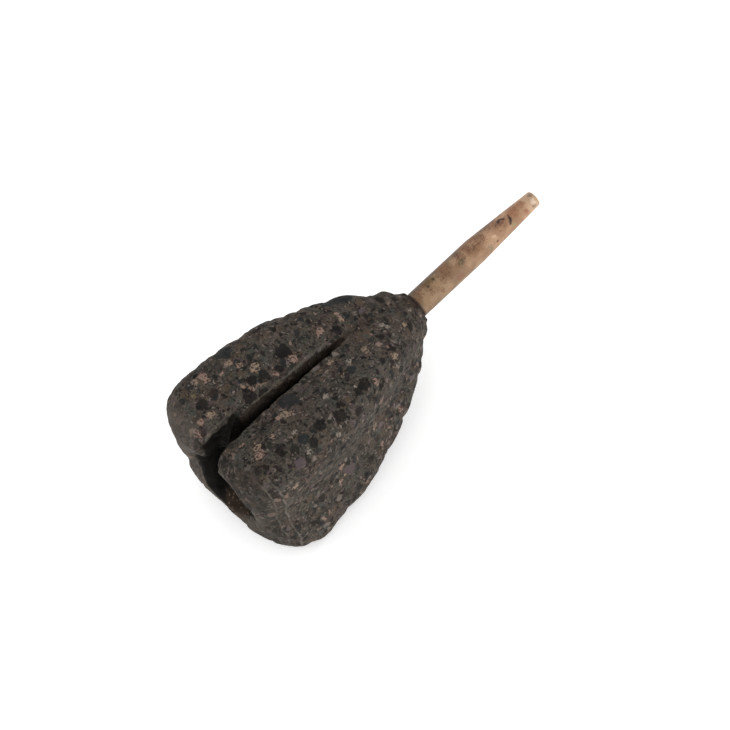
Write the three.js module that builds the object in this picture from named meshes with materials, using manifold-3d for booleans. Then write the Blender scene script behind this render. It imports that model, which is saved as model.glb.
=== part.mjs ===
// In-line fishing lead: a cast square pear with a slot down one face, a hard insert and a tail rubber.
// Millimetres. +X runs along the bore from the base to the tail, +Z up through the slotted face.
// The lead lies on the two flats of its lower ridges, and Z is 0 there.
import * as THREE from 'three';
import { mergeVertices } from 'three/addons/utils/BufferGeometryUtils.js';
import Module from 'manifold-3d';

const wasm = await Module();
wasm.setup();

// Casting. Places along it are measured from the nose, towards the base.
const BODY_LENGTH = 36.8;
const BELLY_FROM_NOSE = 30.5;
const BELLY_HALF_WIDTH = 10.95;
const NOSE_WALL = 0.3;
const NECK_LENGTH = 0.5;
const FLANK_FULLNESS = 2.36;
const BASE_FULLNESS = 3.1;
const RIDGE_RADIUS = 3.7;
const FACE_HOLLOW_SHARE = 0.19;
const FLAT_CUT_DEPTH = 0.8;

// Slot down the upper face, for the hook length. Its floor rises to the face in a run-out, and it
// narrows to a point there.
const SLOT_WIDTH = 1.7;
const SLOT_END_FROM_NOSE = 12;
const SLOT_POINT_LENGTH = 3.4;
const SLOT_RUN_OUT = 7;
const SLOT_DEPTH_BELOW_AXIS = 1;

// Pocket at the slot's base end. It steps into the slot's far wall at the face and widens there
// downwards to the cup. The two lobes beside it have rounded corners at the base.
const POCKET_STEP = 0.9;
const POCKET_FROM_NOSE = 29.4;
const POCKET_RUN_OUT = 4;
const POCKET_FLOOR_HEIGHT = 2.5;
const POCKET_UNDERCUT = 0.8;
const NEAR_CORNER_RADIUS = 1.2;
const NEAR_LOBE_FROM_NOSE = 35.1;
const FAR_CORNER_RADIUS = 0.3;

// Round cup in the base
const CUP_RADIUS = 4.7;
const CUP_DEPTH = 6.4;
const CUP_FLOOR_ROUNDING = 2.4;
const CUP_LIP_RADIUS = 2.6;

// Hard insert and tail rubber
const LINE_HOLE_RADIUS = 0.6;
const INSERT_WALL = 0.5;
const COLLAR_LENGTH = 1.6;
const SEAT_FROM_NOSE = 18;
const INSERT_REACH = 8;
const RUBBER_RADIUS = 1.8;
const RUBBER_TIP_RADIUS = 1.15;
const RUBBER_INSERTION = 10;
const RUBBER_STRAIGHT_REACH = 10;
const TAIL_REACH = 21;
const TIP_ROUNDING = 0.25;
const FIT_GAP = 0.25;

// Fineness of the curved surfaces
const FLANK_STATIONS = 30;
const BASE_STATIONS = 12;
const RIDGE_STEPS = 8;
const FACE_STEPS = 10;
const POCKET_STEPS = 6;
const ARC_STEPS = 6;
const ROUND_STEPS = 40;

const INSERT_RADIUS = LINE_HOLE_RADIUS + INSERT_WALL;
const NOSE_BORE_RADIUS = RUBBER_RADIUS + FIT_GAP;
const NOSE_HALF_WIDTH = NOSE_BORE_RADIUS + NOSE_WALL;
const CHANNEL_RADIUS = INSERT_RADIUS + FIT_GAP;
const NOSE_X = (BODY_LENGTH - TAIL_REACH) / 2;
const AXIS_Z = BELLY_HALF_WIDTH - FLAT_CUT_DEPTH;
const OUTSIDE = 3;

const alongAxis = (fromNose) => NOSE_X - fromNose;

// Manifold solids from three.js geometries and back

function toSolid(geometry) {
  const bare = geometry.clone();
  bare.deleteAttribute('normal');
  bare.deleteAttribute('uv');
  const merged = mergeVertices(bare, 1e-5);
  const mesh = new wasm.Mesh({
    numProp: 3,
    vertProperties: new Float32Array(merged.attributes.position.array),
    triVerts: new Uint32Array(merged.index.array),
  });
  return new wasm.Manifold(mesh);
}

function toGeometry(solid) {
  const mesh = solid.getMesh();
  const geometry = new THREE.BufferGeometry();
  geometry.setAttribute('position', new THREE.BufferAttribute(mesh.vertProperties, 3));
  geometry.setIndex(new THREE.BufferAttribute(mesh.triVerts, 1));
  geometry.computeVertexNormals();
  return geometry;
}

// Casting outline: the square section's half width at a distance from the nose, up to the belly,
// and behind the belly the distance from the nose at a half width

function flankHalfWidth(fromNose) {
  const pastNeck = Math.max(fromNose - NECK_LENGTH, 0) / (BELLY_FROM_NOSE - NECK_LENGTH);
  const rise = 1 - (1 - pastNeck) ** FLANK_FULLNESS;
  return NOSE_HALF_WIDTH + (BELLY_HALF_WIDTH - NOSE_HALF_WIDTH) * rise;
}

function baseEnd(halfWidth) {
  const share = Math.min(halfWidth / BELLY_HALF_WIDTH, 1);
  const reach = (1 - share ** BASE_FULLNESS) ** (1 / BASE_FULLNESS);
  return BELLY_FROM_NOSE + (BODY_LENGTH - BELLY_FROM_NOSE) * reach;
}

function hollowDepth(halfWidth) {
  return FACE_HOLLOW_SHARE * Math.max(halfWidth - RIDGE_RADIUS, 0);
}

function faceHeight(fromNose) {
  const halfWidth = flankHalfWidth(fromNose);
  return halfWidth - hollowDepth(halfWidth);
}

// One quarter of the section, from the middle of a face round a ridge to the middle of the next

function quarterSection(halfWidth) {
  const ridge = Math.min(RIDGE_RADIUS, halfWidth);
  const flat = halfWidth - ridge;
  const hollow = hollowDepth(halfWidth);
  const points = [];
  for (let i = 0; i < FACE_STEPS; i++) {
    const share = i / FACE_STEPS;
    const dip = hollow * Math.cos(share * Math.PI / 2) ** 2;
    points.push([halfWidth - dip, share * flat]);
  }
  for (let i = 0; i < RIDGE_STEPS; i++) {
    const turn = (i / RIDGE_STEPS) * Math.PI / 2;
    points.push([flat + ridge * Math.cos(turn), flat + ridge * Math.sin(turn)]);
  }
  for (let i = 0; i < FACE_STEPS; i++) {
    const share = 1 - i / FACE_STEPS;
    const dip = hollow * Math.cos(share * Math.PI / 2) ** 2;
    points.push([share * flat, halfWidth - dip]);
  }
  return points;
}

function sectionRing(fromNose, halfWidth) {
  const ring = [];
  for (let quarter = 0; quarter < 4; quarter++) {
    const turn = quarter * Math.PI / 2;
    for (const [y, z] of quarterSection(halfWidth)) {
      const turnedY = y * Math.cos(turn) - z * Math.sin(turn);
      const turnedZ = y * Math.sin(turn) + z * Math.cos(turn);
      ring.push(new THREE.Vector3(alongAxis(fromNose), turnedY, AXIS_Z + turnedZ));
    }
  }
  return ring;
}

function castingRings() {
  const rings = [];
  for (let i = 0; i < FLANK_STATIONS; i++) {
    const fromNose = BELLY_FROM_NOSE * i / FLANK_STATIONS;
    rings.push(sectionRing(fromNose, flankHalfWidth(fromNose)));
  }
  for (let i = 0; i < BASE_STATIONS; i++) {
    const turn = (i / BASE_STATIONS) * Math.PI / 2;
    const reach = Math.sin(turn) ** (2 / BASE_FULLNESS);
    const width = Math.cos(turn) ** (2 / BASE_FULLNESS);
    const fromNose = BELLY_FROM_NOSE + (BODY_LENGTH - BELLY_FROM_NOSE) * reach;
    rings.push(sectionRing(fromNose, BELLY_HALF_WIDTH * width));
  }
  return rings;
}

function loft(rings, firstPole, lastPole) {
  const count = rings[0].length;
  const positions = rings.flat().concat([firstPole, lastPole]).flatMap((p) => [p.x, p.y, p.z]);
  const firstIndex = rings.length * count;
  const lastStart = (rings.length - 1) * count;
  const triangles = [];
  for (let i = 0; i < count; i++) {
    const next = (i + 1) % count;
    triangles.push(firstIndex, i, next);
    triangles.push(firstIndex + 1, lastStart + next, lastStart + i);
    for (let r = 0; r < rings.length - 1; r++) {
      const here = r * count;
      const there = here + count;
      triangles.push(here + i, there + i, there + next);
      triangles.push(here + i, there + next, here + next);
    }
  }
  const geometry = new THREE.BufferGeometry();
  geometry.setAttribute('position', new THREE.Float32BufferAttribute(positions, 3));
  geometry.setIndex(triangles);
  return geometry;
}

function squarePear() {
  const nosePole = new THREE.Vector3(NOSE_X, 0, AXIS_Z);
  const basePole = new THREE.Vector3(alongAxis(BODY_LENGTH), 0, AXIS_Z);
  return toSolid(loft(castingRings(), nosePole, basePole));
}

// A solid of revolution on the bore's axis, from points of (radius, distance from the nose)

function turned(profile) {
  const points = profile.map(([radius, fromNose]) => new THREE.Vector2(radius, -fromNose));
  const geometry = new THREE.LatheGeometry(points, ROUND_STEPS);
  geometry.rotateZ(-Math.PI / 2);
  geometry.translate(NOSE_X, 0, AXIS_Z);
  return geometry;
}

// An upright slab from an outline of (distance from the nose, height over the axis)

function slab(outline, width) {
  const geometry = new THREE.ExtrudeGeometry(outline, { depth: width, bevelEnabled: false });
  geometry.translate(0, 0, -width / 2);
  geometry.rotateX(Math.PI / 2);
  geometry.rotateZ(Math.PI);
  geometry.translate(NOSE_X, 0, AXIS_Z);
  return toSolid(geometry);
}

// A column that stands on the axis plane, from an outline of (distance from the nose, half width)

function column(outline, depthBelowAxis) {
  const height = BELLY_HALF_WIDTH + OUTSIDE + depthBelowAxis;
  const geometry = new THREE.ExtrudeGeometry(outline, { depth: height, bevelEnabled: false });
  geometry.rotateZ(Math.PI);
  geometry.translate(NOSE_X, 0, AXIS_Z - depthBelowAxis);
  return toSolid(geometry);
}

function slotPlan() {
  const half = SLOT_WIDTH / 2;
  const shoulder = SLOT_END_FROM_NOSE + SLOT_POINT_LENGTH;
  const bend = SLOT_END_FROM_NOSE + SLOT_POINT_LENGTH / 3;
  const outline = new THREE.Shape();
  outline.moveTo(BODY_LENGTH + OUTSIDE, -half);
  outline.lineTo(BODY_LENGTH + OUTSIDE, half);
  outline.lineTo(shoulder, half);
  outline.quadraticCurveTo(bend, half, SLOT_END_FROM_NOSE, 0);
  outline.quadraticCurveTo(bend, -half, shoulder, -half);
  return outline;
}

// Side outline of what a cut removes: its floor starts level with the face and curves down

function runOut(start, length, floor) {
  const face = faceHeight(start);
  const top = BELLY_HALF_WIDTH + OUTSIDE;
  const outline = new THREE.Shape();
  outline.moveTo(start, top);
  outline.lineTo(start, face);
  outline.quadraticCurveTo(start + length / 2, face, start + length, floor);
  outline.lineTo(BODY_LENGTH + OUTSIDE, floor);
  outline.lineTo(BODY_LENGTH + OUTSIDE, top);
  return outline;
}

function slotCut() {
  const side = runOut(SLOT_END_FROM_NOSE, SLOT_RUN_OUT, -SLOT_DEPTH_BELOW_AXIS);
  return column(slotPlan(), SLOT_DEPTH_BELOW_AXIS).intersect(slab(side, SLOT_WIDTH + OUTSIDE));
}

function arc(centreA, centreB, radius, from, to) {
  const points = [];
  for (let i = 0; i <= ARC_STEPS; i++) {
    const turn = from + (to - from) * (i / ARC_STEPS);
    points.push([centreA + radius * Math.cos(turn), centreB + radius * Math.sin(turn)]);
  }
  return points;
}

// Level section of the pocket: points of (distance from the nose, place across the face), with the
// near side negative. Past the lobes' rounded corners it opens out through the base.

function pocketRing(height, near, far) {
  const tight = FAR_CORNER_RADIUS;
  const wide = NEAR_CORNER_RADIUS;
  const farLobe = baseEnd(height);
  const nearLobe = Math.max(farLobe, NEAR_LOBE_FROM_NOSE);
  const past = BODY_LENGTH + OUTSIDE;
  const plan = [
    [POCKET_FROM_NOSE, near],
    [POCKET_FROM_NOSE, far],
    ...arc(farLobe - tight, far + tight, tight, -Math.PI / 2, 0),
    [past, far + tight],
    [past, near - wide],
    ...arc(nearLobe - wide, near - wide, wide, 0, Math.PI / 2),
  ];
  return plan.map(([fromNose, y]) => new THREE.Vector3(alongAxis(fromNose), y, AXIS_Z + height));
}

function pocketCut() {
  const top = BELLY_HALF_WIDTH + OUTSIDE;
  const face = faceHeight(BELLY_FROM_NOSE);
  const near = -SLOT_WIDTH / 2;
  const far = SLOT_WIDTH / 2 + POCKET_STEP;
  const rings = [pocketRing(top, near, far)];
  for (let i = 0; i <= POCKET_STEPS; i++) {
    const down = i / POCKET_STEPS;
    const height = face + (POCKET_FLOOR_HEIGHT - face) * down;
    rings.push(pocketRing(height, near, far + POCKET_UNDERCUT * down));
  }
  const poleX = alongAxis(BODY_LENGTH + OUTSIDE / 2);
  const topPole = new THREE.Vector3(poleX, 0, AXIS_Z + top);
  const floorPole = new THREE.Vector3(poleX, 0, AXIS_Z + POCKET_FLOOR_HEIGHT);
  const side = runOut(POCKET_FROM_NOSE, POCKET_RUN_OUT, POCKET_FLOOR_HEIGHT);
  return toSolid(loft(rings, topPole, floorPole)).intersect(slab(side, 2 * BELLY_HALF_WIDTH));
}

function cupCut() {
  const lip = CUP_LIP_RADIUS;
  const round = CUP_FLOOR_ROUNDING;
  const rim = CUP_RADIUS + lip;
  const floor = BODY_LENGTH - CUP_DEPTH;
  return toSolid(turned([
    [0, BODY_LENGTH + OUTSIDE],
    [rim, BODY_LENGTH + OUTSIDE],
    ...arc(rim, baseEnd(rim) - lip, lip, Math.PI / 2, Math.PI),
    ...arc(CUP_RADIUS - round, floor + round, round, 0, -Math.PI / 2),
    [0, floor],
  ]));
}

function boreCut(radius, start, end) {
  return toSolid(turned([[0, end], [radius, end], [radius, start], [0, start]]));
}

function flatsCut() {
  const size = 2 * BODY_LENGTH;
  const box = new THREE.BoxGeometry(size, size, size);
  box.translate(0, 0, -size / 2);
  return toSolid(box);
}

function leadBody() {
  const noseBore = boreCut(NOSE_BORE_RADIUS, -OUTSIDE, SEAT_FROM_NOSE);
  const channel = boreCut(CHANNEL_RADIUS, SEAT_FROM_NOSE - FIT_GAP, BODY_LENGTH);
  const cuts = [noseBore, channel, cupCut(), slotCut(), pocketCut(), flatsCut()];
  return toGeometry(cuts.reduce((body, cut) => body.subtract(cut), squarePear()));
}

// The insert's collar stops on the seat, and its tube runs out through the nose into the rubber

function insert() {
  const collarFoot = SEAT_FROM_NOSE - FIT_GAP;
  return turned([
    [LINE_HOLE_RADIUS, collarFoot],
    [RUBBER_RADIUS, collarFoot],
    [RUBBER_RADIUS, collarFoot - COLLAR_LENGTH],
    [INSERT_RADIUS, collarFoot - COLLAR_LENGTH],
    [INSERT_RADIUS, -INSERT_REACH],
    [LINE_HOLE_RADIUS, -INSERT_REACH],
    [LINE_HOLE_RADIUS, collarFoot],
  ]);
}

function tailRubber() {
  const socketRadius = INSERT_RADIUS + FIT_GAP;
  const socketEnd = -INSERT_REACH - FIT_GAP;
  const round = TIP_ROUNDING;
  return turned([
    [socketRadius, RUBBER_INSERTION],
    [RUBBER_RADIUS, RUBBER_INSERTION],
    [RUBBER_RADIUS, -RUBBER_STRAIGHT_REACH],
    ...arc(RUBBER_TIP_RADIUS - round, round - TAIL_REACH, round, 0, -Math.PI / 2),
    [LINE_HOLE_RADIUS, -TAIL_REACH],
    [LINE_HOLE_RADIUS, socketEnd],
    [socketRadius, socketEnd],
    [socketRadius, RUBBER_INSERTION],
  ]);
}

function piece(name, geometry, color, roughness) {
  const material = new THREE.MeshStandardMaterial({ color, roughness, metalness: 0 });
  const mesh = new THREE.Mesh(geometry, material);
  mesh.name = name;
  return mesh;
}

const lead = new THREE.Group();
lead.add(piece('lead_body', leadBody(), 0x4b443e, 0.8));
lead.add(piece('insert_tube', insert(), 0xb9a88a, 0.5));
lead.add(piece('tail_rubber', tailRubber(), 0xa58264, 0.6));

export default lead;
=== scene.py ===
import math

import bmesh
import bpy
from mathutils import Matrix, Vector


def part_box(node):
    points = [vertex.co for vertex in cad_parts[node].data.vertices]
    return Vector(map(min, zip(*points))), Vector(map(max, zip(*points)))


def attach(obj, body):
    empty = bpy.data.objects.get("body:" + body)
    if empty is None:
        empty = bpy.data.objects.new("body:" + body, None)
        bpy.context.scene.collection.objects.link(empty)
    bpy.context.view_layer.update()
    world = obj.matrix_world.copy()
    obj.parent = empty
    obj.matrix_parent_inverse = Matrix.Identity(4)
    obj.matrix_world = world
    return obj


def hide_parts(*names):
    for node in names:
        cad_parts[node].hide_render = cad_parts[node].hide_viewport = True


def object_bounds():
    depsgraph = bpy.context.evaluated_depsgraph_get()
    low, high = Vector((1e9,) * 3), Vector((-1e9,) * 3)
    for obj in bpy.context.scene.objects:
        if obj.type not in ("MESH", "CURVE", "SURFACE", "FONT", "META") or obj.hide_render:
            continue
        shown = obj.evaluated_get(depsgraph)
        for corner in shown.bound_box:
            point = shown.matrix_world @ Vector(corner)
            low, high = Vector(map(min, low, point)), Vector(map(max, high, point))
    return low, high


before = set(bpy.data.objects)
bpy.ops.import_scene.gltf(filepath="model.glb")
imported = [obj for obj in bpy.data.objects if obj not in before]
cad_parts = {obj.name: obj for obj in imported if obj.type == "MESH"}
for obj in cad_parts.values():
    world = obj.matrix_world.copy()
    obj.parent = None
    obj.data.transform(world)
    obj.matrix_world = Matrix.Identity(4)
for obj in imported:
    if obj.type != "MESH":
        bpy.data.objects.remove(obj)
cad_box = [[float(value) for value in corner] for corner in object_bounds()]

# The photograph's view: a long lens looks down on the slotted face, with the base a little nearer
# than the nose, and the picture is turned so that the tail points up to the right.
PICTURE_SIZE = 730
PIXELS_PER_MM = 7.65
NOSE_PIXEL = (420.8, 301.9)
AXIS_TURN = math.radians(43.14)
LENS_MM = 150
SENSOR_MM = 36
TO_CAMERA = (-0.22, -0.44, 0.87)

body_low, body_high = (Vector(corner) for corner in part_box("lead_body"))
tail_low, tail_high = (Vector(corner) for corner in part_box("tail_rubber"))
axis_height = (tail_low.z + tail_high.z) / 2
nose = Vector((body_high.x, 0, axis_height))

to_camera = Vector(TO_CAMERA).normalized()
along = (Vector((1, 0, 0)) - to_camera.x * to_camera).normalized()
across = along.cross(to_camera)
picture_right = math.cos(AXIS_TURN) * along + math.sin(AXIS_TURN) * across
picture_up = to_camera.cross(picture_right)
metres_per_pixel = 0.001 / PIXELS_PER_MM
right_of_nose = (PICTURE_SIZE / 2 - NOSE_PIXEL[0]) * metres_per_pixel
above_nose = (NOSE_PIXEL[1] - PICTURE_SIZE / 2) * metres_per_pixel
target = nose + right_of_nose * picture_right + above_nose * picture_up
distance = PICTURE_SIZE * metres_per_pixel * LENS_MM / SENSOR_MM

camera = bpy.data.objects.new("camera", bpy.data.cameras.new("camera"))
camera.data.lens = LENS_MM
camera.data.sensor_width = SENSOR_MM
camera.data.clip_start = 0.01
turn = Matrix((picture_right, picture_up, to_camera)).transposed().to_4x4()
camera.matrix_world = Matrix.Translation(target + distance * to_camera) @ turn
bpy.context.collection.objects.link(camera)
bpy.context.scene.camera = camera


# The casting: one piece of lead with a thick, matt, stone-like coating baked on. The coating
# rounds every edge, leaves shallow facets and dents, and is speckled like crushed stone.
CASTING_VOXEL = 0.00022
COAT_SMOOTHING = 2

# The coating's relief in millimetres: what a facet, pebble, swelling or grain measures across, and
# how far it stands out or falls in. The seed picks the pattern.
RELIEF = {
    "Facet size": 4.5,
    "Facet crease": 0.16,
    "Pebble size": 2.6,
    "Pebble depth": 0.22,
    "Swell size": 8.0,
    "Swell depth": 0.22,
    "Grain size": 0.6,
    "Grain depth": 0.05,
    "Seed": 4.0,
}

# In shares of a cell: how far a crease reaches from a facet's edge, and how far from a pebble's
# middle the surface neither rises nor falls
CREASE_WIDTH = 0.16
PEBBLE_EVEN = 0.4

# The relief sets in between these two distances from the bore's axis, so that the bore stays round
RELIEF_STARTS = 2.15
RELIEF_FULL = 2.6

# Wear in metres: the nose is worn back over its last few millimetres, and its rim is chipped most
# on the upper near side
NOSE_WEAR = 0.0008
NOSE_WEAR_REACH = 0.004
RIM_CHIP = 0.0005
RIM_RADIUS = 0.0024
CHIPPED_UP = 0.75
CHIPPED_NEAR = 0.65

# How far the coating thickens each wall of the slot towards the nose, in metres: where that starts
# from the nose, over what length it grows, and how thick it gets. It fades out beside the slot.
SLOT_HALF_WIDTH = 0.00085
WALL_COAT_ABOVE_BORE = 0.003
WALL_COAT_FADE = 0.0014
FAR_WALL_COAT = (0.0295, 0.006, 0.00045)
NEAR_WALL_COAT = (0.021, 0.008, 0.00035)

# Dents, or swellings where the depth is negative, in millimetres: distance from the nose, place
# across, height over the bore, reach and depth
DENTS = (
    (3.0, -3.6, -2.1, 1.8, 0.50),
    (11.2, -7.6, -6.0, 1.6, 0.25),
    (17.2, -9.3, -7.7, 2.2, 0.30),
    (4.7, 4.7, 3.0, 1.4, 0.35),
    (11.2, 7.5, 5.9, 1.6, 0.40),
    (14.3, 8.6, 6.9, 2.6, 0.55),
    (21.6, 10.0, 8.4, 1.9, 0.50),
    (26.0, 10.4, 8.8, 1.6, 0.30),
    (34.8, -9.8, -8.2, 5.0, 0.60),
    (36.6, 4.5, 3.0, 2.5, 0.30),
    (31.0, 9.9, 9.4, 4.0, -0.25),
    (22.2, -10.1, -8.5, 2.4, -0.20),
    (29.5, -10.3, -8.9, 2.6, -0.25),
    (36.0, 6.9, -2.3, 2.6, 0.55),
    (7.6, 5.6, 5.2, 2.6, -0.35),
    (3.3, 3.0, 3.6, 2.2, -0.25),
    (5.6, 4.0, 4.8, 0.8, 0.25),
    (2.1, -3.3, 0.2, 1.9, -0.3),
    (12.6, 0.1, 7.4, 0.8, 0.45),
    (11.7, 0.2, 7.0, 0.6, 0.3),
    (34.8, 8.3, 8.9, 3.0, -0.32),
    (36.0, 6.4, 6.6, 3.0, -0.30),
    (36.0, 5.9, 3.7, 2.0, -0.25),
    (26.5, 9.1, 10.4, 1.4, -0.28),
    (21.2, 8.4, 9.8, 1.8, -0.36),
    (16.3, 7.4, 9.1, 1.5, 0.40),
    (7.0, 3.8, 5.9, 1.6, -0.36),
    (3.3, 1.9, 3.7, 2.4, -0.38),
    (1.3, 0.6, 2.6, 1.2, -0.30),
    (6.9, -5.8, -1.2, 2.4, -0.38),
    (11.0, -7.5, -3.2, 2.8, -0.42),
    (14.0, -8.6, -4.6, 1.8, 0.18),
    (18.2, -9.7, -5.4, 1.7, -0.42),
    (20.6, -10.2, -6.1, 2.4, -0.30),
    (24.7, -10.7, -6.9, 3.2, 0.20),
    (29.6, -10.9, -7.3, 3.6, -0.30),
    (34.4, -9.5, -5.8, 2.4, 0.28),
    (35.7, -7.8, -4.7, 2.4, 0.38),
    (36.1, -5.0, -5.2, 2.0, 0.25),
    (35.8, 0.6, -6.1, 2.6, -0.35),
    (35.9, 6.6, -3.2, 2.2, 0.38),
    (35.6, -7.0, -6.6, 3.0, 0.22),
    (35.2, -7.6, -6.4, 4.2, 0.38),
    (16.0, 8.3, 8.1, 1.6, 0.40),
    (36.0, 6.0, 1.6, 1.8, -0.25),
    (35.8, 6.4, -4.2, 2.4, 0.35),
    (35.7, 6.8, -3.6, 3.0, 0.45),
)

# Height of the slotted face over the bore in millimetres: at the belly, and its fall from there to
# the nose
FACE_AT_BELLY = 9.6
FACE_FALL = 7.0
BELLY_FROM_NOSE = 30.5
FLANK_FULLNESS = 2.36

# Where the hollows lie, in millimetres: half widths of the slot, of the pocket's mouth and of its
# floor, where the pocket starts and ends from the nose, and where the cup starts and its radius
SLOT_EDGE = 1.1
POCKET_MOUTH = 1.95
POCKET_FLOOR = 3.6
POCKET_START = 29.3
POCKET_END = 35.6
CUP_START = 29.0
CUP_RADIUS = 5.6


class Wire:
    """A socket in a node tree. Arithmetic on it adds Math nodes."""

    def __init__(self, tree, socket):
        self.tree = tree
        self.socket = socket

    def math(self, operation, *others):
        inputs = dict(enumerate((self, *others)))
        return add_node(self.tree, "ShaderNodeMath", {"operation": operation}, inputs)

    def __add__(self, other):
        return self.math("ADD", other)

    def __sub__(self, other):
        return self.math("SUBTRACT", other)

    def __rsub__(self, other):
        return (self * -1) + other

    def __mul__(self, other):
        return self.math("MULTIPLY", other)

    __radd__ = __add__
    __rmul__ = __mul__

    def ramp(self, low, high, start=0.0, end=1.0):
        inputs = {"Value": self, "From Min": low, "From Max": high, "To Min": start, "To Max": end}
        return add_node(self.tree, "ShaderNodeMapRange", {"interpolation_type": "SMOOTHSTEP"}, inputs)


def add_node(tree, kind, settings=None, inputs=None, output=0):
    node = tree.nodes.new(kind)
    for name, value in (settings or {}).items():
        setattr(node, name, value)
    for key, value in (inputs or {}).items():
        if isinstance(value, Wire):
            tree.links.new(value.socket, node.inputs[key])
        else:
            node.inputs[key].default_value = value
    return Wire(tree, node.outputs[output])


def vector_math(tree, operation, inputs, output=0):
    return add_node(tree, "ShaderNodeVectorMath", {"operation": operation}, inputs, output)


def noise(tree, place, per_mm, detail, output=0):
    inputs = {"Vector": place, "Scale": per_mm, "Detail": detail}
    return add_node(tree, "ShaderNodeTexNoise", None, inputs, output)


def wobble(tree, place, per_mm, amount):
    """A place shifted by noise, so that what is drawn there gets irregular borders."""
    cloud = noise(tree, place, per_mm, 2.0, "Color")
    centred = vector_math(tree, "SUBTRACT", {0: cloud, 1: (0.5, 0.5, 0.5)})
    shift = vector_math(tree, "SCALE", {0: centred, "Scale": amount})
    return vector_math(tree, "ADD", {0: place, 1: shift})


def nearness(tree, place, centre, reach):
    """1 at a centre, 0 from its reach on."""
    return vector_math(tree, "DISTANCE", {0: place, 1: centre}, "Value").ramp(reach, 0.0)


def on_bore(from_nose, sideways, height):
    """Object coordinates in millimetres of a place given along and about the bore."""
    return (nose.x * 1000 - from_nose, sideways, axis_height * 1000 + height)


def about_bore(tree, place):
    """Distance from the nose, place across, height over the bore and distance from its axis."""
    x, sideways, z = (add_node(tree, "ShaderNodeSeparateXYZ", None, {0: place}, side) for side in "XYZ")
    height = z - axis_height * 1000
    radius = (sideways * sideways + height * height).math("SQRT")
    return nose.x * 1000 - x, sideways, height, radius


def copy_of_node(node_name, name):
    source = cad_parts[node_name]
    solid = bpy.data.objects.new(name, source.data.copy())
    bpy.context.collection.objects.link(solid)
    mesh = bmesh.new()
    mesh.from_mesh(solid.data)
    bmesh.ops.remove_doubles(mesh, verts=mesh.verts, dist=1e-7)
    mesh.to_mesh(solid.data)
    mesh.free()
    solid.data.materials.clear()
    return solid


def baked(solid):
    """Replace a piece's mesh by the result of its modifiers, and drop the modifiers."""
    evaluated = solid.evaluated_get(bpy.context.evaluated_depsgraph_get())
    finished = bpy.data.meshes.new_from_object(evaluated)
    solid.modifiers.clear()
    solid.data = finished
    return solid


def coating_tree():
    """Geometry Nodes that facet, swell, grain and dent a surface along its normals."""
    tree = bpy.data.node_groups.new("stone_coating", "GeometryNodeTree")
    kinds = {"Geometry": "NodeSocketGeometry"}
    kinds.update({name: "NodeSocketFloat" for name in RELIEF})
    kinds["Material"] = "NodeSocketMaterial"
    sockets = {}
    for name, kind in kinds.items():
        item = tree.interface.new_socket(name, in_out="INPUT", socket_type=kind)
        sockets[name] = item.identifier
    tree.interface.new_socket("Geometry", in_out="OUTPUT", socket_type="NodeSocketGeometry")
    given = tree.nodes.new("NodeGroupInput")
    value = {name: Wire(tree, given.outputs[name]) for name in sockets}
    place = vector_math(tree, "SCALE", {0: add_node(tree, "GeometryNodeInputPosition"), "Scale": 1000.0})
    normal = add_node(tree, "GeometryNodeInputNormal")
    shifted = vector_math(tree, "ADD", {0: place, 1: value["Seed"]})
    bent = wobble(tree, shifted, 0.35, 2.0)

    def swell(size, detail):
        return noise(tree, shifted, size.math("POWER", -1.0), detail) - 0.5

    def cells(feature, size):
        inputs = {"Vector": bent, "Scale": size.math("POWER", -1.0)}
        return add_node(tree, "ShaderNodeTexVoronoi", {"feature": feature}, inputs)

    crease = cells("DISTANCE_TO_EDGE", value["Facet size"]).ramp(CREASE_WIDTH, 0.0)
    rise = swell(value["Swell size"], 1.0) * value["Swell depth"] * 2
    rise = rise - crease * value["Facet crease"]
    pebble = PEBBLE_EVEN - cells("SMOOTH_F1", value["Pebble size"])
    rise = rise + pebble * value["Pebble depth"]
    rise = rise + swell(value["Grain size"], 3.0) * value["Grain depth"] * 2
    for from_nose, sideways, height, reach, depth in DENTS:
        rise = rise - nearness(tree, place, on_bore(from_nose, sideways, height), reach) * depth
    radius = about_bore(tree, place)[3]
    rise = rise * radius.ramp(RELIEF_STARTS, RELIEF_FULL) * 0.001
    offset = vector_math(tree, "SCALE", {0: normal, "Scale": rise})
    inputs = {"Geometry": value["Geometry"], "Offset": offset}
    moved = add_node(tree, "GeometryNodeSetPosition", None, inputs)
    real = add_node(tree, "GeometryNodeRealizeInstances", None, {"Geometry": moved})
    smooth = add_node(tree, "GeometryNodeSetShadeSmooth", None, {"Geometry": real})
    inputs = {"Geometry": smooth, "Material": value["Material"]}
    dressed = add_node(tree, "GeometryNodeSetMaterial", None, inputs)
    result = tree.nodes.new("NodeGroupOutput")
    tree.links.new(dressed.socket, result.inputs["Geometry"])
    return tree, sockets


def new_finish(name, roughness):
    material = bpy.data.materials.new(name)
    material.use_nodes = True
    shader = material.node_tree.nodes["Principled BSDF"]
    shader.inputs["Roughness"].default_value = roughness
    return material, material.node_tree, shader


def millimetres(tree):
    """Object coordinates counted in millimetres."""
    place = add_node(tree, "ShaderNodeTexCoord", None, None, "Object")
    return vector_math(tree, "SCALE", {0: place, "Scale": 1000.0})


def tone(red, green, blue):
    """A colour as seen, 0 to 255, turned into the light it sends back."""
    return (*(((value / 255 + 0.055) / 1.055) ** 2.4 for value in (red, green, blue)), 1.0)


def blend(tree, share, below, above):
    settings = {"data_type": "RGBA"}
    return add_node(tree, "ShaderNodeMix", settings, {0: share, 6: below, 7: above}, 2)


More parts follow.
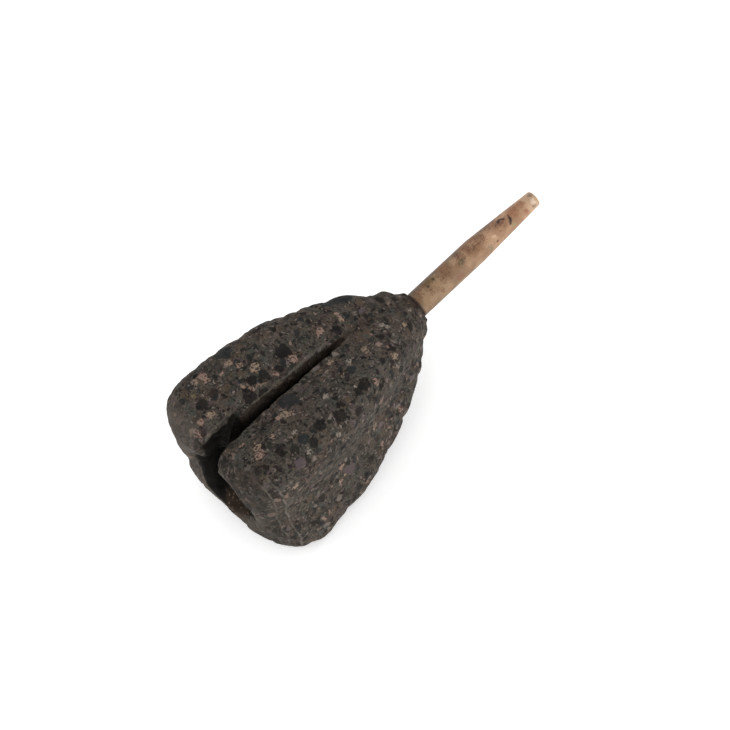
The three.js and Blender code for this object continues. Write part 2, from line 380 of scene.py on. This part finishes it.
def flecks(tree, place, per_mm, share, radius, softness):
    """Irregular spots: the share of the cells that hold one, and its radius in cells.

    Also gives a random number for each spot.
    """
    inputs = {"Vector": place, "Scale": per_mm}
    cells = add_node(tree, "ShaderNodeTexVoronoi", {"feature": "F1"}, inputs, "Distance")
    chance = add_node(tree, "ShaderNodeTexVoronoi", {"feature": "F1"}, inputs, "Color")
    dice, size, look = (
        add_node(tree, "ShaderNodeSeparateColor", None, {"Color": chance}, channel)
        for channel in ("Red", "Green", "Blue")
    )
    reach = dice.ramp(1 - share, 1 - share * 0.8) * (size * 0.6 + 0.55) * radius
    return (reach - cells).ramp(0.0, softness), look


def picked(tree, dice, tones):
    """One of some tones for each random number."""
    chosen = add_node(tree, "ShaderNodeValToRGB", None, {"Fac": dice})
    ramp = chosen.socket.node.color_ramp
    ramp.interpolation = "CONSTANT"
    ramp.elements.remove(ramp.elements[1])
    for number, shade in enumerate(tones):
        stop = ramp.elements[0] if number == 0 else ramp.elements.new(number / len(tones))
        stop.color = shade
    return chosen


def spot(tree, place, centre, size, softness):
    """1 within the size of a centre, 0 outside it."""
    away = vector_math(tree, "DISTANCE", {0: place, 1: centre}, "Value")
    return (size - away).ramp(-softness, softness)


def hollows(bore):
    """The slot's walls, the slot from below their edges down, the pocket and the cup."""
    from_nose, sideways, height, radius = bore
    run = (1 - from_nose * (1 / BELLY_FROM_NOSE)).math("MAXIMUM", 0.0)
    depth = FACE_AT_BELLY - run.math("POWER", FLANK_FULLNESS) * FACE_FALL - height
    wall = sideways.math("ABSOLUTE").ramp(SLOT_EDGE, SLOT_EDGE - 0.15)
    mouth = sideways.ramp(POCKET_MOUTH, POCKET_MOUTH - 0.15) * depth.ramp(0.05, 0.25)
    pocket_floor = sideways.ramp(POCKET_FLOOR, POCKET_FLOOR - 0.4) * depth.ramp(0.9, 1.3)
    pocket = mouth.math("MAXIMUM", pocket_floor) * sideways.ramp(-1.15, -1.0)
    pocket = pocket * from_nose.ramp(POCKET_START, POCKET_START + 0.5)
    pocket = pocket * from_nose.ramp(POCKET_END, POCKET_END - 0.6)
    reach = radius + sideways.ramp(2.0, -3.0) - height.ramp(-0.2, -3.0) * 1.3
    cup = reach.ramp(CUP_RADIUS, CUP_RADIUS - 0.4) * from_nose.ramp(CUP_START, CUP_START + 0.6)
    return wall * depth.ramp(0.1, 0.3), wall * depth.ramp(0.6, 3.6), pocket, cup


# Tones of the crushed stone in the coating
DARK_TONES = (tone(22, 21, 20), tone(33, 35, 36), tone(35, 29, 28), tone(32, 33, 28), tone(28, 24, 21))
MIDDLE_TONES = (tone(88, 78, 72), tone(64, 67, 62), tone(78, 66, 54), tone(74, 63, 64), tone(48, 44, 41))
PALE_TONES = (tone(116, 106, 99), tone(108, 101, 96), tone(124, 106, 96), tone(100, 90, 88))
PINK = tone(130, 107, 96)
TAN = tone(129, 111, 95)
PALE = tone(126, 117, 108)
SLATE = tone(33, 36, 37)
BLACK = tone(21, 20, 19)
LILAC = tone(80, 69, 71)
OLIVE = tone(92, 84, 58)

# Layers of stones: how many cells there are to the millimetre, the share of them that holds a
# stone, its radius in cells, how strongly it shows, and its tones
FACE_STONES = (
    (0.75, 0.5, 0.6, 0.6, MIDDLE_TONES),
    (1.6, 0.5, 0.6, 0.6, MIDDLE_TONES),
    (0.6, 0.3, 0.5, 0.75, DARK_TONES),
    (1.2, 0.45, 0.58, 0.9, DARK_TONES),
    (2.3, 0.4, 0.55, 0.9, DARK_TONES),
    (1.5, 0.2, 0.42, 0.7, PALE_TONES),
    (2.4, 0.24, 0.42, 0.8, PALE_TONES),
    (3.4, 0.12, 0.45, 0.6, DARK_TONES),
    (1.0, 0.06, 0.4, 0.8, PALE_TONES),
)
FLANK_STONES = (
    (0.7, 0.45, 0.5, 0.7, DARK_TONES),
    (0.9, 0.35, 0.45, 0.7, PALE_TONES),
    (1.4, 0.3, 0.45, 0.7, DARK_TONES),
)

# The stones that stand out: tone, radius in millimetres, and place by the distance from the nose,
# across, and the height over the bore
STONES = (
    (PINK, 0.60, (29.0, 7.9, 10.8)),
    (PINK, 0.50, (29.1, 7.1, 10.9)),
    (TAN, 0.45, (30.3, 8.1, 10.9)),
    (OLIVE, 0.40, (31.8, 6.7, 10.9)),
    (PINK, 0.35, (27.2, 6.3, 10.7)),
    (TAN, 0.45, (25.5, 6.8, 10.8)),
    (PINK, 0.40, (24.8, 5.7, 10.6)),
    (TAN, 0.65, (23.6, 4.0, 10.2)),
    (TAN, 0.40, (26.3, 3.4, 10.1)),
    (PINK, 0.40, (25.7, 2.5, 9.7)),
    (PINK, 0.40, (24.7, 2.2, 9.5)),
    (TAN, 0.40, (23.8, 2.0, 9.4)),
    (PINK, 0.40, (22.1, 1.9, 9.4)),
    (PINK, 0.55, (19.1, 1.9, 9.0)),
    (TAN, 0.50, (31.8, 3.6, 10.0)),
    (PINK, 0.45, (33.5, 3.8, 10.0)),
    (PINK, 0.55, (34.7, 3.3, 9.2)),
    (PINK, 0.35, (34.6, 8.6, 8.7)),
    (LILAC, 0.40, (35.2, 5.5, 9.0)),
    (PINK, 0.50, (26.3, -3.3, 10.0)),
    (TAN, 0.60, (25.5, -3.6, 10.0)),
    (PINK, 0.40, (24.9, -4.2, 10.1)),
    (PINK, 0.40, (28.9, -5.0, 10.7)),
    (PALE, 0.40, (26.6, -6.8, 10.8)),
    (PINK, 0.35, (32.1, -2.5, 9.7)),
    (TAN, 0.60, (31.0, -4.6, 10.3)),
    (PINK, 0.70, (31.6, -5.6, 10.7)),
    (SLATE, 1.20, (24.9, 8.7, 10.4)),
    (BLACK, 0.80, (23.5, 2.6, 9.7)),
    (BLACK, 0.60, (25.0, 3.2, 10.0)),
    (BLACK, 0.90, (26.7, 1.8, 9.7)),
    (BLACK, 0.70, (25.2, 1.0, 9.3)),
    (BLACK, 0.80, (31.8, 5.2, 10.6)),
    (SLATE, 1.20, (23.8, -2.3, 9.5)),
    (BLACK, 1.00, (19.4, 3.5, 9.4)),
    (BLACK, 0.60, (21.4, 2.1, 9.3)),
    (SLATE, 0.90, (10.3, 5.6, 7.0)),
    (SLATE, 0.90, (9.0, 5.3, 6.1)),
    (SLATE, 0.90, (7.9, 4.6, 5.9)),
    (PINK, 0.45, (10.5, 3.1, 7.4)),
    (TAN, 0.45, (10.6, 2.3, 7.2)),
    (LILAC, 0.40, (7.8, 1.7, 6.3)),
    (PINK, 0.55, (13.9, 2.5, 8.3)),
    (BLACK, 0.70, (12.2, 1.4, 7.5)),
    (PALE, 0.40, (7.4, -1.7, 6.0)),
    (PALE, 0.40, (7.2, -2.4, 6.1)),
    (TAN, 0.50, (11.8, -3.6, 8.0)),
    (PALE, 0.25, (11.9, -4.7, 8.0)),
    (TAN, 0.55, (9.4, -6.3, 6.0)),
    (TAN, 0.35, (5.0, -3.1, 4.6)),
    (PALE, 0.40, (2.7, -1.5, 3.5)),
    (TAN, 0.50, (16.2, -2.0, 8.6)),
    (PALE, 0.35, (14.6, -3.5, 8.6)),
    (PINK, 0.40, (13.9, -7.8, 7.5)),
    (PALE, 0.30, (16.7, -7.2, 9.3)),
    (PALE, 0.45, (20.3, -5.7, 10.1)),
    (BLACK, 0.90, (15.5, -7.4, 8.6)),
    (BLACK, 0.60, (16.8, -7.7, 9.0)),
    (BLACK, 0.50, (8.9, -3.3, 6.8)),
    (SLATE, 0.70, (15.3, -4.9, 9.0)),
    (BLACK, 0.40, (11.2, -6.0, 7.2)),
    (LILAC, 0.50, (5.9, -5.4, 2.5)),
    (TAN, 0.60, (16.6, -8.4, -0.2)),
    (PINK, 0.50, (11.9, -7.7, -2.8)),
    (PINK, 0.30, (14.6, -8.5, -3.3)),
    (PINK, 0.30, (16.8, -9.1, -4.0)),
    (PINK, 0.50, (23.5, -9.2, -0.6)),
    (PINK, 0.50, (24.5, -9.7, -2.5)),
    (TAN, 0.30, (23.5, -9.5, -2.4)),
    (LILAC, 0.90, (22.5, -9.5, -2.1)),
    (SLATE, 0.60, (25.2, -9.7, 1.6)),
    (BLACK, 0.90, (20.8, -8.9, 9.6)),
    (BLACK, 0.80, (23.7, -8.2, 10.4)),
    (SLATE, 0.70, (26.5, -8.2, 10.8)),
    (BLACK, 0.60, (25.8, -9.3, 10.0)),
    (PALE, 0.35, (22.6, -10.1, 8.7)),
    (BLACK, 0.15, (22.6, -10.1, 8.7)),
    (PALE, 0.35, (26.9, -9.8, 9.9)),
    (BLACK, 0.15, (26.9, -9.8, 9.9)),
    (BLACK, 0.40, (27.8, -10.2, 9.3)),
    (LILAC, 0.70, (28.9, -9.9, 9.6)),
    (TAN, 0.50, (31.0, -10.8, 7.6)),
    (PINK, 0.40, (29.0, -10.7, -4.9)),
    (BLACK, 0.50, (30.5, -10.4, -4.6)),
    (BLACK, 0.50, (19.5, -9.6, -4.0)),
    (BLACK, 0.60, (27.8, -9.8, -2.1)),
)


def stone_ground(tree, place, mottle, grain):
    """The coating between its stones: brown and grey, cloudy and grainy."""
    region = noise(tree, place, 0.35, 2.0)
    ground = blend(tree, mottle.ramp(0.38, 0.62), tone(53, 48, 43), tone(72, 65, 58))
    ground = blend(tree, region.ramp(0.52, 0.6) * 0.4, ground, tone(72, 58, 53))
    ground = blend(tree, region.ramp(0.48, 0.4) * 0.4, ground, tone(60, 62, 57))
    ground = blend(tree, grain.ramp(0.52, 0.64) * 0.4, ground, tone(94, 86, 78))
    return blend(tree, grain.ramp(0.46, 0.36) * 0.55, ground, tone(30, 27, 25))


def stone_layers(tree, place, ground, layers, where=1.0):
    for per_mm, share, reach, strength, tones in layers:
        spots, dice = flecks(tree, place, per_mm, share, reach, 0.15)
        ground = blend(tree, spots * (where * strength), ground, picked(tree, dice, tones))
    return ground


def single_stones(tree, place, fine, ground):
    """The stones that stand out. The pale ones are crumbly, the dark ones whole."""
    lace = noise(tree, place, 3.5, 1.0)
    ragged = wobble(tree, fine, 1.1, 0.9)
    for shade, size, centre in STONES:
        solid = spot(tree, ragged, on_bore(*centre), size, 0.07)
        share = solid * 0.8 if shade in (SLATE, BLACK, LILAC) else solid * lace.ramp(0.36, 0.54)
        ground = blend(tree, share, ground, shade)
    return ground


def sides_and_ends(tree, bore, bent, ground):
    """More stones on the flank and base, and painted light and shade.

    A painted sheen makes the near side a little lighter, painted shade makes the far side darker and
    painted light makes the far lobe's end paler. The near end is darker, and a painted shadow rings
    the bore at the nose.
    """
    from_nose, sideways, height, radius = bore
    near_side = (-1 * sideways - height).ramp(-1.0, 4.0)
    flank = near_side.math("MAXIMUM", from_nose.ramp(32.5, 34.5))
    # Painted sheen: the near side is a little lighter.
    ground = blend(tree, near_side * 0.08, ground, tone(112, 102, 92))
    ground = stone_layers(tree, bent, ground, FLANK_STONES, flank)
    near_end = from_nose.ramp(33.0, 35.0) * sideways.ramp(0.0, -1.5)
    ground = blend(tree, near_end * 0.42, ground, tone(46, 42, 38))
    # Painted shade: the far side, where the light falls off, is darker.
    far_side_shade = (sideways - height).ramp(-0.6, 2.4) * from_nose.ramp(34.0, 32.0)
    ground = blend(tree, far_side_shade * 0.35, ground, tone(28, 28, 31))
    # Painted light: the far lobe's end is paler.
    far_end_light = from_nose.ramp(33.2, 34.8) * sideways.ramp(2.6, 4.0)
    ground = blend(tree, far_end_light * 0.4, ground, tone(96, 88, 82))
    # Painted shadow: a dark ring on the nose round the bore, strongest on the far side.
    rim = radius.ramp(3.0, 2.6) * from_nose.ramp(1.9, 1.3)
    return blend(tree, rim * sideways.ramp(-1.6, 0.6, 0.3, 0.9), ground, tone(28, 19, 18))


def creases_and_painted_highlights(tree, place, bore, mottle, ground):
    """Pale lines at the base's corner, a painted highlight on the cup's lip, and painted highlights
    along the slot's and pocket's far edges.

    They are drawn on a gently bent place. It is darker where the slot runs out.
    """
    from_nose, _, height, _ = bore
    bowed, askew, _, spread = about_bore(tree, wobble(tree, place, 0.6, 0.7))
    crease = (bowed - 33.0).math("ABSOLUTE").ramp(0.2, 0.05) * askew.ramp(-8.2, -9.0)
    second = (bowed - 34.2).math("ABSOLUTE").ramp(0.16, 0.05) * askew.ramp(-7.0, -8.0)
    crease = (crease * 0.6 + second * 0.35) * mottle.ramp(0.4, 0.6, 0.4, 1.0)
    ground = blend(tree, crease, ground, tone(112, 106, 98))
    # Painted highlight: the lip round the cup's mouth is paler.
    lip = spread.ramp(6.0, 6.4) * spread.ramp(8.0, 7.2) * bowed.ramp(34.8, 35.4)
    ground = blend(tree, lip * 0.4, ground, tone(96, 90, 82))
    # Painted highlights: thin pale lines along the slot's and the pocket's far edges.
    edge = askew.ramp(0.6, 0.7) * askew.ramp(1.0, 0.9)
    edge = edge * from_nose.ramp(13.0, 15.0) * from_nose.ramp(29.0, 28.4)
    step_edge = askew.ramp(1.85, 1.95) * askew.ramp(2.3, 2.2)
    step_edge = step_edge * from_nose.ramp(29.4, 29.8) * from_nose.ramp(35.0, 34.0)
    edges = (edge + step_edge) * height.ramp(4.0, 5.0)
    ground = blend(tree, edges * 0.3, ground, tone(104, 98, 88))
    run_out = (askew - 0.1).math("ABSOLUTE").ramp(0.6, 0.25)
    run_out = run_out * from_nose.ramp(9.8, 12.0) * from_nose.ramp(14.5, 13.5)
    return blend(tree, run_out * height.ramp(4.0, 5.0) * 0.6, ground, tone(44, 36, 30))


def hollow_shade_and_grit(tree, place, bore, fine, grain, ground):
    """Plainer brown on the slot's walls, painted shade deep in the slot, the pocket and the cup, and
    painted light with paler grit on the floor of the cup.
    """
    wall, slot, pocket, cup = hollows(bore)
    ground = blend(tree, wall * grain.ramp(0.35, 0.6, 0.75, 0.4), ground, tone(54, 44, 36))
    # Painted shade: deep in the slot, the pocket and the cup it is nearly black.
    ground = blend(tree, slot * 0.9, ground, tone(14, 12, 10))
    ground = blend(tree, pocket * 0.92, ground, tone(16, 13, 9))
    ground = blend(tree, cup * 0.96, ground, tone(6, 5, 3))
    # Painted light: the cup's floor is lifted back to brown, with pale grit on it.
    cup_floor = nearness(tree, place, on_bore(34.8, -0.8, -5.0), 3.6).ramp(0.0, 0.5)
    ground = blend(tree, cup_floor * 0.5, ground, tone(62, 50, 40))
    grit = flecks(tree, fine, 2.6, 0.7, 0.5, 0.12)[0] * cup_floor
    return blend(tree, grit * 0.6, ground, tone(98, 84, 72))


def coated_lead():
    material, tree, shader = new_finish("stone_coated_lead", 0.8)
    shader.inputs["Specular IOR Level"].default_value = 0.08
    place = millimetres(tree)
    bore = about_bore(tree, place)
    bent = wobble(tree, wobble(tree, place, 0.8, 1.2), 2.6, 0.6)
    fine = wobble(tree, place, 2.8, 0.6)
    mottle = noise(tree, place, 0.8, 4.0)
    grain = noise(tree, place, 3.4, 2.0)

    ground = stone_ground(tree, place, mottle, grain)
    ground = stone_layers(tree, bent, ground, FACE_STONES)
    ground = single_stones(tree, place, fine, ground)
    ground = sides_and_ends(tree, bore, bent, ground)
    ground = creases_and_painted_highlights(tree, place, bore, mottle, ground)
    ground = hollow_shade_and_grit(tree, place, bore, fine, grain, ground)
    tree.links.new(ground.socket, shader.inputs["Base Color"])

    rise = grain + mottle * 0.5
    bump = add_node(tree, "ShaderNodeBump", None, {"Strength": 0.3, "Distance": 0.0001, "Height": rise})
    tree.links.new(bump.socket, shader.inputs["Normal"])
    rough = grain.ramp(0.3, 0.7, 0.7, 0.88)
    tree.links.new(rough.socket, shader.inputs["Roughness"])
    return material


casting_finish = coated_lead()
casting = copy_of_node("lead_body", "coated_casting")
remesh = casting.modifiers.new("coating thickness", "REMESH")
remesh.mode = "VOXEL"
remesh.voxel_size = CASTING_VOXEL
remesh.use_smooth_shade = True
rounding = casting.modifiers.new("rounding", "SMOOTH")
rounding.factor = 0.5
rounding.iterations = COAT_SMOOTHING
coating, coating_inputs = coating_tree()
texture = casting.modifiers.new("texture", "NODES")
texture.node_group = coating
for input_name, input_value in RELIEF.items():
    texture[coating_inputs[input_name]] = input_value
texture[coating_inputs["Material"]] = casting_finish
baked(casting)

# The nose is worn back, the slot's walls come closer, and nothing leaves the plain casting's box
for vertex in casting.data.vertices:
    worn = max(1 - (nose.x - vertex.co.x) / NOSE_WEAR_REACH, 0)
    chipped_side = CHIPPED_UP * (vertex.co.z - axis_height) - CHIPPED_NEAR * vertex.co.y
    chip = RIM_CHIP * min(max(chipped_side / RIM_RADIUS, 0), 1)
    vertex.co.x -= (NOSE_WEAR + chip) * worn ** 2
    off_middle = abs(vertex.co.y)
    above = vertex.co.z > axis_height + WALL_COAT_ABOVE_BORE
    if above and off_middle < SLOT_HALF_WIDTH + WALL_COAT_FADE:
        start, length, most = FAR_WALL_COAT if vertex.co.y > 0 else NEAR_WALL_COAT
        narrowing = most * min(max((start - nose.x + vertex.co.x) / length, 0), 1)
        narrowing *= min(off_middle / SLOT_HALF_WIDTH, 1)
        narrowing *= 1 - max(off_middle - SLOT_HALF_WIDTH, 0) / WALL_COAT_FADE
        vertex.co.y -= math.copysign(narrowing, vertex.co.y)
    for side in range(3):
        vertex.co[side] = min(max(vertex.co[side], body_low[side]), body_high[side])
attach(casting, "lead")
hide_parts("lead_body")


# The hard insert: a straight plastic tube, pushed in at the nose until its collar meets the seat in
# the bore. It is cream, a little glossy, and scuffed where it slides.
def insert_plastic():
    material, tree, shader = new_finish("insert_plastic", 0.4)
    place = millimetres(tree)
    cloud = noise(tree, place, 0.7, 3.0)
    colour = blend(tree, cloud.ramp(0.35, 0.65), tone(172, 150, 120), tone(190, 170, 142))
    tree.links.new(colour.socket, shader.inputs["Base Color"])
    rough = cloud.ramp(0.3, 0.7, 0.35, 0.5)
    tree.links.new(rough.socket, shader.inputs["Roughness"])
    return material


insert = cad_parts["insert_tube"]
insert.data.materials.clear()
insert.data.materials.append(insert_plastic())


# The tail rubber: a soft, half see-through tan tube moulded with reddish-brown mottling. It is
# pushed over the insert and into the nose, runs straight for half its length and then tapers.
TIP_SAG = 0.0003
OFF_CENTRE = 0.0001

# Stains and worn marks, and one painted highlight near the tip, in millimetres: distance out of
# the nose, place across, height over the axis, size and tone. The small ones are crisp, and the
# large ones are frayed.
CRISP_BELOW = 0.25
RUBBER_MARKS = (
    (2.0, 0.5, 1.7, 0.55, tone(98, 72, 36)),
    (2.7, 0.3, 1.8, 0.55, tone(98, 72, 36)),
    (1.7, 0.0, 1.8, 0.20, tone(52, 36, 22)),
    (2.9, 0.3, 1.8, 0.22, tone(62, 48, 28)),
    (5.0, 0.9, 1.6, 0.90, tone(122, 82, 54)),
    (7.3, -0.6, 1.7, 0.42, tone(80, 72, 46)),
    (8.9, 1.1, 1.5, 0.80, tone(118, 74, 48)),
    (10.4, 0.9, 1.6, 0.70, tone(118, 74, 48)),
    (2.9, -1.5, 0.9, 0.40, tone(122, 84, 58)),
    (5.9, -1.6, 0.7, 0.60, tone(122, 84, 62)),
    (11.6, -1.6, 0.7, 0.50, tone(128, 108, 80)),
    (12.9, -1.5, 0.6, 0.20, tone(112, 64, 46)),
    (12.9, -1.0, 1.3, 0.30, tone(196, 168, 140)),
    (14.8, -0.3, 1.5, 0.40, tone(104, 64, 42)),
    (14.7, 0.1, 1.5, 0.24, tone(36, 20, 14)),
    (15.0, 0.2, 1.5, 0.22, tone(36, 20, 14)),
    (15.3, 0.1, 1.5, 0.18, tone(48, 28, 20)),
    (15.5, -0.1, 1.4, 0.20, tone(36, 20, 14)),
    (16.3, -0.1, 1.4, 0.12, tone(48, 28, 20)),
    (16.3, -0.3, 1.4, 0.16, tone(36, 20, 14)),
    (16.2, -0.5, 1.3, 0.20, tone(30, 16, 12)),
    (16.2, -0.7, 1.2, 0.24, tone(30, 16, 12)),
    (16.0, -0.9, 1.1, 0.24, tone(30, 16, 12)),
    (15.8, -1.1, 1.0, 0.18, tone(48, 28, 20)),
    (16.1, -1.4, 0.6, 0.40, tone(146, 128, 92)),
    (17.1, -0.2, 1.3, 0.80, tone(140, 92, 64)),
    (18.6, 0.0, 1.2, 0.60, tone(134, 88, 60)),
    (18.5, -1.2, 0.6, 0.40, tone(140, 90, 62)),
    (20.0, -1.3, 0.4, 0.35, tone(108, 92, 74)),
    (20.6, -0.1, 1.1, 0.35, tone(112, 98, 82)),
    # Painted highlight: a pale spot near the tip.
    (20.2, -0.9, 0.8, 0.35, tone(216, 194, 174)),
)


def mottled_rubber():
    material, tree, shader = new_finish("mottled_rubber", 0.45)
    shader.inputs["Specular IOR Level"].default_value = 0.35
    shader.inputs["Subsurface Weight"].default_value = 0.25
    shader.inputs["Subsurface Radius"].default_value = (1.0, 0.6, 0.35)
    shader.inputs["Subsurface Scale"].default_value = 0.0006
    place = millimetres(tree)
    from_nose, sideways, height, _ = about_bore(tree, place)
    bent = wobble(tree, place, 1.2, 1.4)
    cloud = noise(tree, place, 0.5, 3.0)
    grain = noise(tree, place, 4.0, 3.0)
    low_tone = blend(tree, cloud.ramp(0.38, 0.62), tone(124, 97, 70), tone(150, 122, 92))
    high_tone = blend(tree, cloud.ramp(0.38, 0.62), tone(150, 115, 86), tone(174, 139, 109))
    colour = blend(tree, from_nose.ramp(-2.0, -14.0), low_tone, high_tone)
    colour = blend(tree, grain.ramp(0.52, 0.66) * 0.35, colour, tone(112, 82, 58))
    upper = sideways * 0.9 + height * 0.45
    patches = noise(tree, bent, 0.6, 3.0).ramp(0.44, 0.58) * upper.ramp(-1.1, 0.9)
    colour = blend(tree, patches * 0.5, colour, tone(116, 76, 50))
    rusty = patches * grain.ramp(0.42, 0.54)
    colour = blend(tree, rusty * 0.45, colour, tone(90, 54, 34))
    dots = flecks(tree, wobble(tree, place, 3.0, 0.3), 3.4, 0.55, 0.5, 0.2)[0] * patches
    colour = blend(tree, dots * 0.8, colour, tone(70, 38, 24))
    speckle = flecks(tree, bent, 5.0, 0.6, 0.5, 0.2)[0] * upper.ramp(0.2, 1.2)
    colour = blend(tree, speckle * 0.6, colour, tone(72, 48, 30))
    # Painted shade: the upper edge is darker, and the lower edge a little darker.
    colour = blend(tree, upper.ramp(1.1, 1.7) * 0.6, colour, tone(74, 64, 48))
    colour = blend(tree, upper.ramp(-1.2, -1.75) * 0.4, colour, tone(112, 92, 68))
    # Painted shadow: a dark ring on the rubber where it goes into the nose.
    root_shadow = from_nose.ramp(0.55, 0.95) * from_nose.ramp(2.8, 1.6)
    colour = blend(tree, root_shadow * 0.9, colour, tone(34, 20, 16))
    tip = from_nose.ramp(-18.2, -19.6)
    colour = blend(tree, tip * 0.6, colour, tone(196, 167, 138))
    frayed = wobble(tree, wobble(tree, place, 1.2, 0.7), 3.5, 0.4)
    uneven = wobble(tree, place, 3.5, 0.25)
    for reach, around, lift, size, shade in RUBBER_MARKS:
        crisp = size < CRISP_BELOW
        mark = spot(tree, uneven if crisp else frayed, on_bore(-reach, around, lift), size, size * 0.4)
        if not crisp:
            mark = mark * grain.ramp(0.4, 0.56, 0.45, 0.95)
        colour = blend(tree, mark * 0.85, colour, shade)
    tree.links.new(colour.socket, shader.inputs["Base Color"])
    return material


rubber = copy_of_node("tail_rubber", "tail_tube")
rubber.data.materials.append(mottled_rubber())
for face in rubber.data.polygons:
    face.use_smooth = True
for vertex in rubber.data.vertices:
    share = max(vertex.co.x - nose.x, 0) / (tail_high.x - nose.x)
    vertex.co += (TIP_SAG * share ** 2 - OFF_CENTRE) * across
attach(rubber, "tail")
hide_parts("tail_rubber")


# The studio: a plain white light table under the lead and soft light from all round, a little
# stronger from the right of and below the camera. The table's glow leaves hardly any shadow.
FLOOR_SIZE = 3.0
KEY_SIZE = 0.6
KEY_DISTANCE = 0.7
KEY_WATTS = 2.2
SKY_STRENGTH = 1.0
FLOOR_GLOW = 0.35
FLOOR_TONE = (0.94, 0.94, 0.94, 1)
WHITE = (1.0, 1.0, 1.0, 1)

# Where the key stands from the camera's aim: to the right, upwards and towards the camera
KEY_PLACE = (0.75, -0.55, 0.5)

floor_mesh = bpy.data.meshes.new("floor")
half_floor = FLOOR_SIZE / 2
corners = [
    (x * half_floor, y * half_floor, cad_box[0][2]) for x, y in ((-1, -1), (1, -1), (1, 1), (-1, 1))
]
floor_mesh.from_pydata(corners, [], [(0, 1, 2, 3)])
floor = bpy.data.objects.new("floor", floor_mesh)
bpy.context.collection.objects.link(floor)
floor_finish, _, floor_shader = new_finish("pale_floor", 0.9)
floor_shader.inputs["Base Color"].default_value = FLOOR_TONE
floor_shader.inputs["Specular IOR Level"].default_value = 0.1
floor_shader.inputs["Emission Color"].default_value = WHITE
floor_shader.inputs["Emission Strength"].default_value = FLOOR_GLOW
floor.data.materials.append(floor_finish)

world = bpy.data.worlds.new("studio")
bpy.context.scene.world = world
world.use_nodes = True
sky = world.node_tree.nodes["Background"]
sky.inputs["Color"].default_value = WHITE
sky.inputs["Strength"].default_value = SKY_STRENGTH

key = bpy.data.objects.new("key", bpy.data.lights.new("key", "AREA"))
key.data.shape = "DISK"
key.data.size = KEY_SIZE
key.data.energy = KEY_WATTS
key_right, key_up, key_near = KEY_PLACE
key_side = (picture_right * key_right + picture_up * key_up + to_camera * key_near).normalized()
key.location = target + key_side * KEY_DISTANCE
key.rotation_euler = key_side.to_track_quat("Z", "Y").to_euler()
bpy.context.collection.objects.link(key)

bpy.context.scene.view_settings.view_transform = "Standard"
bpy.context.scene.view_settings.look = "None"
